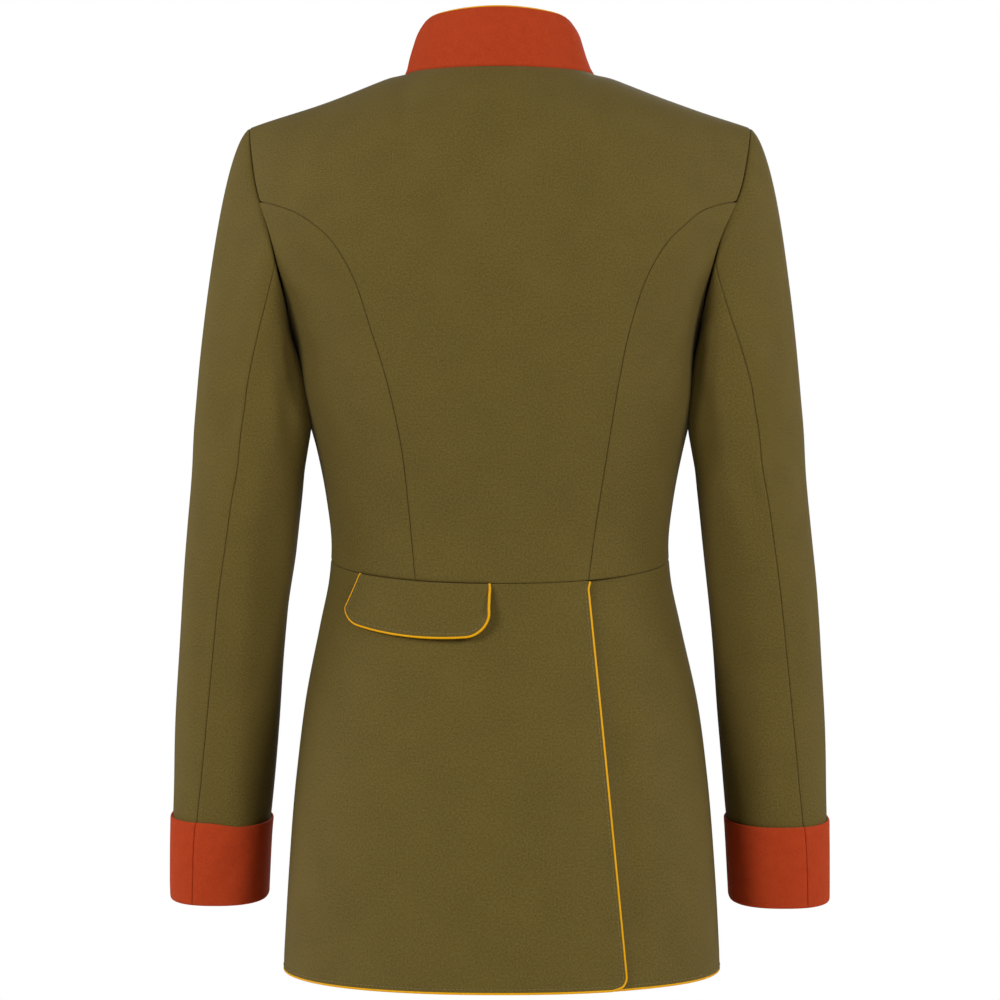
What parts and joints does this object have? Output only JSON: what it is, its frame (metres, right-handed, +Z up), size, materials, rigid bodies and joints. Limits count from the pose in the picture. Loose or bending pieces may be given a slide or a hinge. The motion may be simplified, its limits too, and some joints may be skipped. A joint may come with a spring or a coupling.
{
  "type": "frock coat",
  "caption": "Women's fitted frock coat with stand collar, princess-seamed bodice, two-piece sleeves, turned cuffs, pocket flap and a lapped, piped back vent.",
  "frame": {"origin": "middle of the neck opening, level with the neck points, where the shoulder seams meet the stand collar; the coat hangs from the wearer's shoulders here", "axes": "+Z up along the wearer, +Y the way the wearer faces, +X to the wearer's right; the back of the coat faces -Y"},
  "size_m": [0.5328, 0.2815, 0.7616],
  "materials": {
    "olive_gabardine": "fine matte twill",
    "rust_wool": "matte felted wool",
    "gold_piping": "smooth covered cord",
    "brass_button": "satin"
  },
  "bodies": {
    "root": {"bodice_back": "olive_gabardine", "bodice_side_back_left": "olive_gabardine", "bodice_side_back_right": "olive_gabardine", "bodice_front_left": "olive_gabardine", "bodice_front_right": "olive_gabardine", "skirt_back_left": "olive_gabardine", "skirt_back_right": "olive_gabardine", "skirt_front_left": "olive_gabardine", "skirt_front_right": "olive_gabardine", "sleeve_top_left": "olive_gabardine", "sleeve_top_right": "olive_gabardine", "sleeve_under_left": "olive_gabardine", "sleeve_under_right": "olive_gabardine", "pocket_flap": "olive_gabardine", "collar": "rust_wool", "cuff_left": "rust_wool", "cuff_right": "rust_wool", "collar_piping": "gold_piping", "pocket_flap_piping": "gold_piping", "hem_piping_left": "gold_piping", "hem_piping_right": "gold_piping", "button_1": "brass_button", "button_2": "brass_button", "button_3": "brass_button", "button_4": "brass_button", "button_5": "brass_button", "button_6": "brass_button"}
  },
  "joints": []
}
